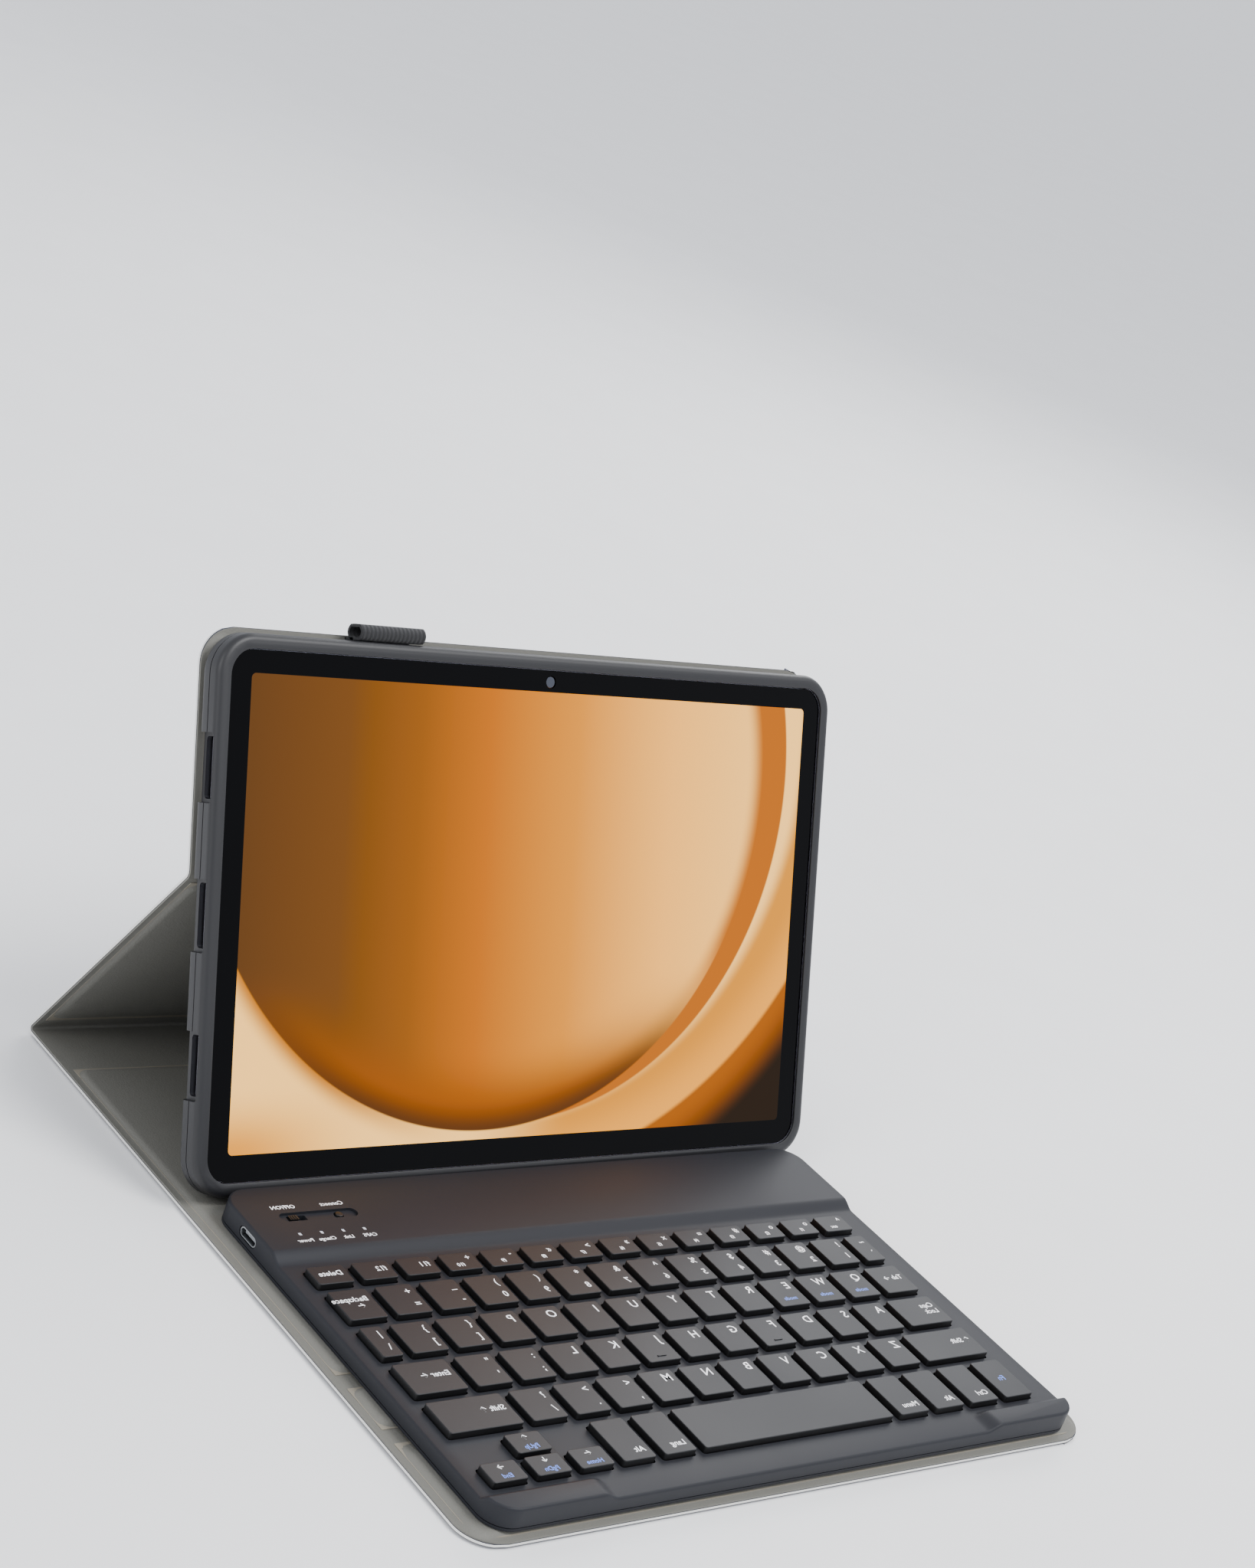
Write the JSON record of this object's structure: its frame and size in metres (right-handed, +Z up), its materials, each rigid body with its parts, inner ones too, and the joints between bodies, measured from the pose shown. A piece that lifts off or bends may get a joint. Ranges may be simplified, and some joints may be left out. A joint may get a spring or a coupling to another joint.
{
  "type": "tablet_keyboard_case",
  "caption": "Folding leather keyboard case for a tablet, open as a stand, with soft tray, pencil loop and a slim wireless keyboard lying on the front cover.",
  "frame": {"origin": "on the table, in the middle of the open case's outline", "axes": "X runs across the case with the pencil loop and charging side at negative X, Y from the keyboard's front edge to the stand's rear fold, Z up"},
  "size_m": [0.262, 0.2704, 0.1672],
  "materials": {
    "cover_leather": "pebbled, semi-matte",
    "cover_board": "raw fibre board",
    "cover_lining": "fine pebbled, matte",
    "magnet": "nickel plated",
    "soft_tray": "smooth matte",
    "elastic_band": "ribbed weave",
    "tablet_metal": "bead blasted, anodised",
    "tablet_glass": "polished",
    "screen": "lit",
    "lens": "polished",
    "keyboard_plastic": "fine satin",
    "key_plastic": "satin",
    "sheet_steel": "rolled",
    "clear_plastic": "clear",
    "circuit_board": "solder mask",
    "battery_foil": "foil pouch"
  },
  "bodies": {
    "base": {"front_panel_leather": "cover_leather", "front_panel_board": "cover_board", "front_panel_lining": "cover_lining", "front_panel_magnet_bar": "magnet", "rear_spine_leather": "cover_leather", "rear_spine_lining": "cover_lining"},
    "lower_back": {"lower_back_leather": "cover_leather", "lower_back_board": "cover_board", "lower_back_lining": "cover_lining"},
    "upper_back": {"upper_back_leather": "cover_leather", "upper_back_board": "cover_board", "upper_back_lining": "cover_lining", "tray": "soft_tray", "pencil_loop": "elastic_band", "tablet_body": "tablet_metal", "tablet_glass": "tablet_glass", "tablet_display": "screen", "tablet_front_camera": "lens"},
    "flap_spine": {"flap_spine_leather": "cover_leather", "flap_spine_board": "cover_board", "flap_spine_lining": "cover_lining"},
    "flap": {"flap_leather": "cover_leather", "flap_board": "cover_board", "flap_lining": "cover_lining", "flap_magnet_bar": "magnet"},
    "keyboard": {"keyboard_bottom_shell": "keyboard_plastic", "keyboard_top_shell": "keyboard_plastic", "key_support_plate": "sheet_steel", "contact_membrane": "clear_plastic", "keyboard_circuit_board": "circuit_board", "keyboard_battery": "battery_foil", "keyboard_magnet_bar": "magnet", "charging_socket": "sheet_steel", "indicator_light_guide": "clear_plastic"},
    "power_switch": {"power_switch_slider": "key_plastic"},
    "connect_button": {"connect_button": "key_plastic"},
    "arrow_key_left": {"arrow_key_left": "key_plastic"},
    "arrow_key_down": {"arrow_key_down": "key_plastic"},
    "arrow_key_up": {"arrow_key_up": "key_plastic"},
    "arrow_key_right": {"arrow_key_right": "key_plastic"},
    "inner_modifier_keys": {"inner_modifier_keys": "key_plastic"},
    "space_key": {"space_key": "key_plastic"},
    "outer_modifier_keys": {"outer_modifier_keys": "key_plastic"},
    "left_shift_key": {"left_shift_key": "key_plastic"},
    "lower_letter_row": {"lower_letter_row": "key_plastic"},
    "right_shift_key": {"right_shift_key": "key_plastic"},
    "enter_key": {"enter_key": "key_plastic"},
    "home_letter_row": {"home_letter_row": "key_plastic"},
    "caps_lock_key": {"caps_lock_key": "key_plastic"},
    "upper_letter_row": {"upper_letter_row": "key_plastic"},
    "tab_key": {"tab_key": "key_plastic"},
    "backspace_key": {"backspace_key": "key_plastic"},
    "number_key_row": {"number_key_row": "key_plastic"},
    "function_key_row": {"function_key_row": "key_plastic"}
  },
  "joints": [
    {"name": "rear_fold", "type": "hinge", "parent": "base", "child": "lower_back", "pos_m": [0, 0.13469, 0.0008], "axis": [-1, 0, 0], "range_deg": [0, 122.23]},
    {"name": "back_fold", "type": "hinge", "parent": "lower_back", "child": "upper_back", "pos_m": [0, 0.07761, 0.09131], "axis": [1, 0, 0], "range_deg": [0, 57.23]},
    {"name": "keyboard_lift", "type": "slide", "parent": "base", "child": "keyboard", "axis": [0, 0, 1], "range_m": [0, 0.2]},
    {"name": "flap_spine_fold", "type": "hinge", "parent": "base", "child": "flap_spine", "pos_m": [0, -0.06051, 0.0008], "axis": [-1, 0, 0], "range_deg": [0, 90]},
    {"name": "flap_fold", "type": "hinge", "parent": "flap_spine", "child": "flap", "pos_m": [0, -0.08611, 0.0008], "axis": [-1, 0, 0], "range_deg": [0, 90]},
    {"name": "power_switch_slide", "type": "slide", "parent": "keyboard", "child": "power_switch", "axis": [1, 0, 0], "range_m": [0, 0.003]},
    {"name": "connect_press", "type": "slide", "parent": "keyboard", "child": "connect_button", "axis": [0, 0, -1], "range_m": [0, 0.0005], "stiffness_N_per_m": 1000, "springref_m": -0.0005},
    {"name": "arrow_key_left_press", "type": "slide", "parent": "keyboard", "child": "arrow_key_left", "axis": [0, 0, -1], "range_m": [0, 0.0014], "stiffness_N_per_m": 500, "springref_m": -0.001},
    {"name": "arrow_key_down_press", "type": "slide", "parent": "keyboard", "child": "arrow_key_down", "axis": [0, 0, -1], "range_m": [0, 0.0014], "stiffness_N_per_m": 500, "springref_m": -0.001},
    {"name": "arrow_key_up_press", "type": "slide", "parent": "keyboard", "child": "arrow_key_up", "axis": [0, 0, -1], "range_m": [0, 0.0014], "stiffness_N_per_m": 500, "springref_m": -0.001},
    {"name": "arrow_key_right_press", "type": "slide", "parent": "keyboard", "child": "arrow_key_right", "axis": [0, 0, -1], "range_m": [0, 0.0014], "stiffness_N_per_m": 500, "springref_m": -0.001},
    {"name": "inner_modifier_keys_press", "type": "slide", "parent": "keyboard", "child": "inner_modifier_keys", "axis": [0, 0, -1], "range_m": [0, 0.0014], "stiffness_N_per_m": 500, "springref_m": -0.001},
    {"name": "space_key_press", "type": "slide", "parent": "keyboard", "child": "space_key", "axis": [0, 0, -1], "range_m": [0, 0.0014], "stiffness_N_per_m": 500, "springref_m": -0.001},
    {"name": "outer_modifier_keys_press", "type": "slide", "parent": "keyboard", "child": "outer_modifier_keys", "axis": [0, 0, -1], "range_m": [0, 0.0014], "stiffness_N_per_m": 500, "springref_m": -0.001},
    {"name": "left_shift_key_press", "type": "slide", "parent": "keyboard", "child": "left_shift_key", "axis": [0, 0, -1], "range_m": [0, 0.0014], "stiffness_N_per_m": 500, "springref_m": -0.001},
    {"name": "lower_letter_row_press", "type": "slide", "parent": "keyboard", "child": "lower_letter_row", "axis": [0, 0, -1], "range_m": [0, 0.0014], "stiffness_N_per_m": 500, "springref_m": -0.001},
    {"name": "right_shift_key_press", "type": "slide", "parent": "keyboard", "child": "right_shift_key", "axis": [0, 0, -1], "range_m": [0, 0.0014], "stiffness_N_per_m": 500, "springref_m": -0.001},
    {"name": "enter_key_press", "type": "slide", "parent": "keyboard", "child": "enter_key", "axis": [0, 0, -1], "range_m": [0, 0.0014], "stiffness_N_per_m": 500, "springref_m": -0.001},
    {"name": "home_letter_row_press", "type": "slide", "parent": "keyboard", "child": "home_letter_row", "axis": [0, 0, -1], "range_m": [0, 0.0014], "stiffness_N_per_m": 500, "springref_m": -0.001},
    {"name": "caps_lock_key_press", "type": "slide", "parent": "keyboard", "child": "caps_lock_key", "axis": [0, 0, -1], "range_m": [0, 0.0014], "stiffness_N_per_m": 500, "springref_m": -0.001},
    {"name": "upper_letter_row_press", "type": "slide", "parent": "keyboard", "child": "upper_letter_row", "axis": [0, 0, -1], "range_m": [0, 0.0014], "stiffness_N_per_m": 500, "springref_m": -0.001},
    {"name": "tab_key_press", "type": "slide", "parent": "keyboard", "child": "tab_key", "axis": [0, 0, -1], "range_m": [0, 0.0014], "stiffness_N_per_m": 500, "springref_m": -0.001},
    {"name": "backspace_key_press", "type": "slide", "parent": "keyboard", "child": "backspace_key", "axis": [0, 0, -1], "range_m": [0, 0.0014], "stiffness_N_per_m": 500, "springref_m": -0.001},
    {"name": "number_key_row_press", "type": "slide", "parent": "keyboard", "child": "number_key_row", "axis": [0, 0, -1], "range_m": [0, 0.0014], "stiffness_N_per_m": 500, "springref_m": -0.001},
    {"name": "function_key_row_press", "type": "slide", "parent": "keyboard", "child": "function_key_row", "axis": [0, 0, -1], "range_m": [0, 0.0014], "stiffness_N_per_m": 500, "springref_m": -0.001}
  ],
  "couplings": [
    {"joint": "back_fold", "follows": "rear_fold", "ratio": 0.46822},
    {"joint": "flap_spine_fold", "follows": "keyboard_lift", "rad_per_m": 7.8539},
    {"joint": "flap_fold", "follows": "keyboard_lift", "rad_per_m": 7.8539}
  ]
}
